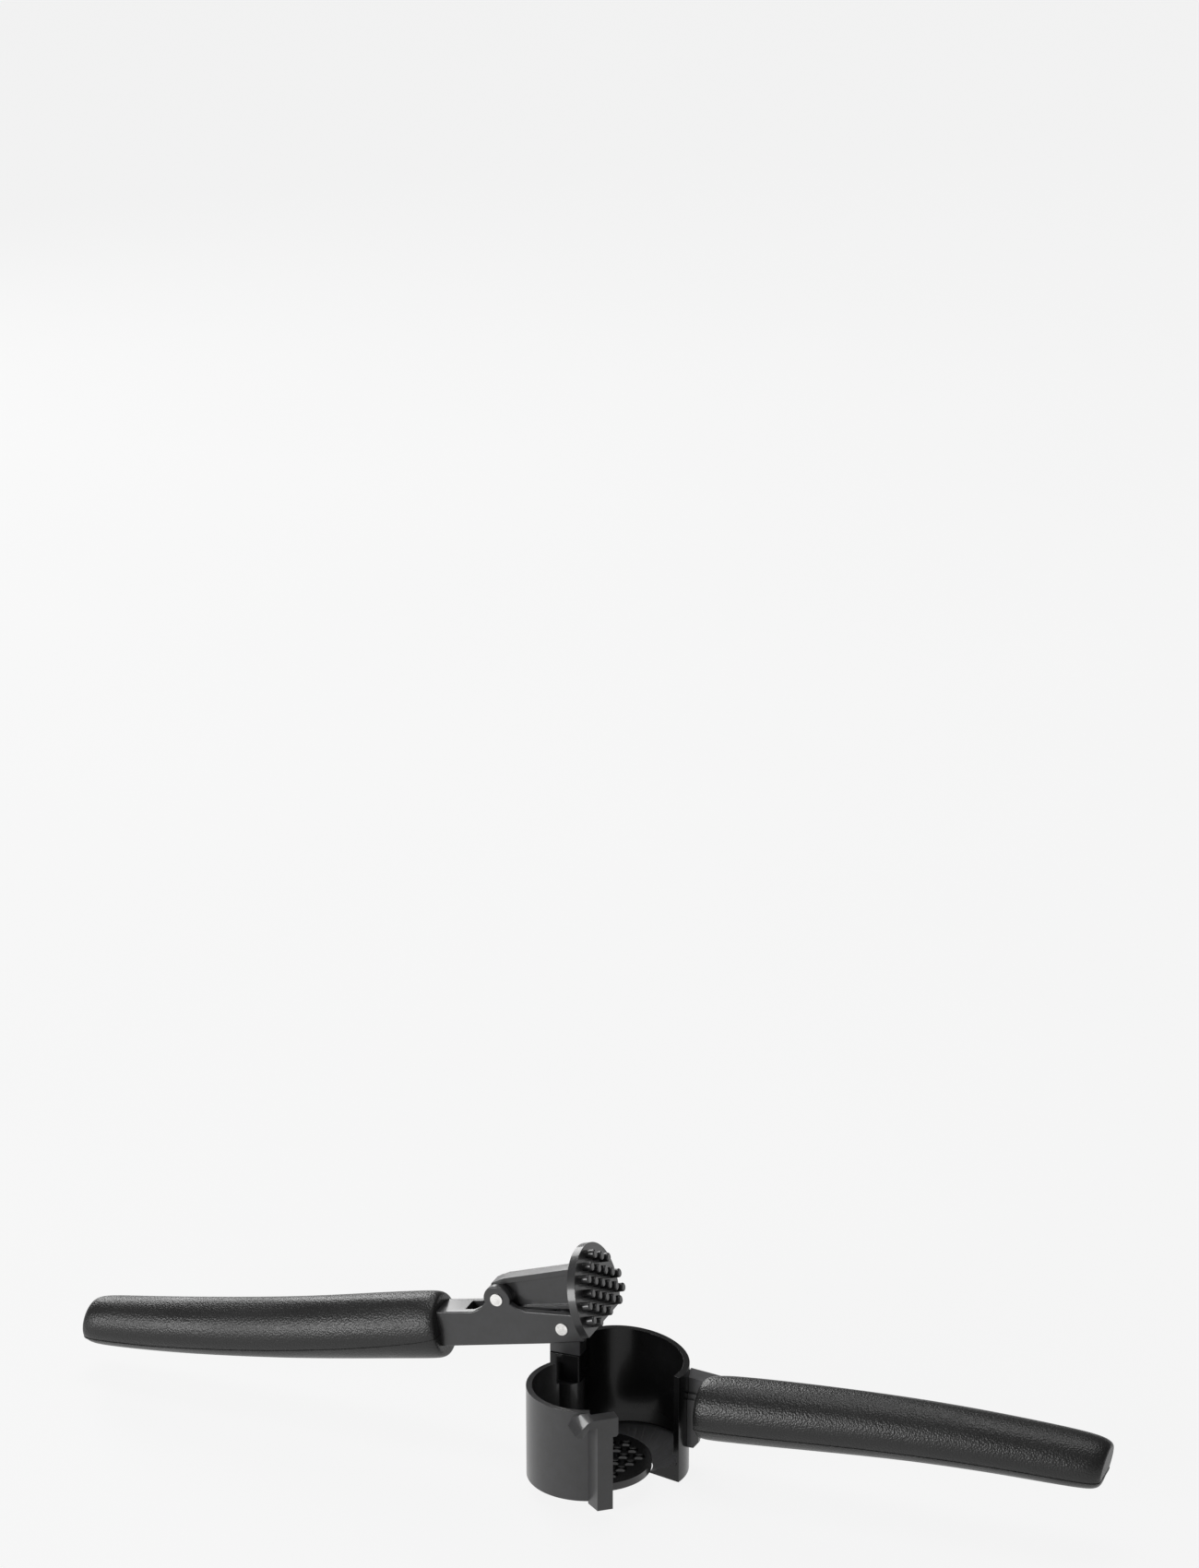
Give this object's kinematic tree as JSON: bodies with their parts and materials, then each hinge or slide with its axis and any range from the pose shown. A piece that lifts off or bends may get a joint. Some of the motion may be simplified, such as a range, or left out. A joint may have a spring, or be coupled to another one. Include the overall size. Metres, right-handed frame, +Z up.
{
  "type": "garlic press",
  "caption": "Hand-held garlic press: cup split into a fixed half and a swinging half with a sieve, a lever with a pivoting piston, and two rounded grips.",
  "frame": {"origin": "axis of the closed cup at its foot plane", "axes": "+Z up along the cup, +X from the cup towards the fixed handle, so the swinging half opens towards -Y"},
  "size_m": [0.3298, 0.0599, 0.0705],
  "materials": {
    "metal": "satin black coated metal",
    "sieve": "smooth black coated metal",
    "grip": "fine-grained black plastic",
    "grip_smooth": "black plastic with a finer grain",
    "pin_steel": "brushed steel pin end"
  },
  "bodies": {
    "frame": {"fixed_basket_half": "metal", "hinge_post": "metal", "basket_hinge_pin": "pin_steel", "handle_neck": "metal", "lower_grip_top_shell": "grip", "lower_grip_bottom_shell": "grip_smooth"},
    "basket_front": {"swing_basket_half": "metal", "latch_hook": "metal"},
    "sieve": {"sieve_plate": "sieve"},
    "lever_pin": {"lever_pivot_pin": "pin_steel"},
    "lever": {"lever_arm": "metal", "lever_grip_top_shell": "grip", "lever_grip_bottom_shell": "grip_smooth"},
    "piston_pin": {"piston_pivot_pin": "pin_steel"},
    "piston": {"piston_arm": "metal", "piston_disc": "metal"}
  },
  "joints": [
    {"name": "basket_hinge", "type": "hinge", "parent": "frame", "child": "basket_front", "pos_m": [-0.0193, 0, 0], "axis": [0, 0, 1], "range_deg": [0, 51.3]},
    {"name": "sieve_swing", "type": "hinge", "parent": "frame", "child": "sieve", "pos_m": [-0.0193, 0, 0], "axis": [0, 0, 1], "range_deg": [0, 44.3]},
    {"name": "lever_swing", "type": "hinge", "parent": "frame", "child": "lever_pin", "pos_m": [-0.0193, 0, 0.0445], "axis": [0, 1, 0], "range_deg": [0, 126.46]},
    {"name": "lever_press", "type": "hinge", "parent": "lever_pin", "child": "lever", "pos_m": [-0.0193, 0, 0.0445], "axis": [0, 1, 0], "range_deg": [0, 42.57]},
    {"name": "piston_swing", "type": "hinge", "parent": "lever", "child": "piston_pin", "pos_m": [-0.04035, 0, 0.05054], "axis": [0, 1, 0], "range_deg": [-29.4, 0]},
    {"name": "piston_tilt", "type": "hinge", "parent": "piston_pin", "child": "piston", "pos_m": [-0.04035, 0, 0.05054], "axis": [0, 1, 0], "range_deg": [-33.8, 0]}
  ],
  "couplings": [
    {"joint": "sieve_swing", "follows": "basket_hinge", "ratio": 0.86354},
    {"joint": "piston_swing", "follows": "lever_swing", "ratio": -0.23201},
    {"joint": "piston_tilt", "follows": "lever_press", "ratio": -0.79234}
  ]
}
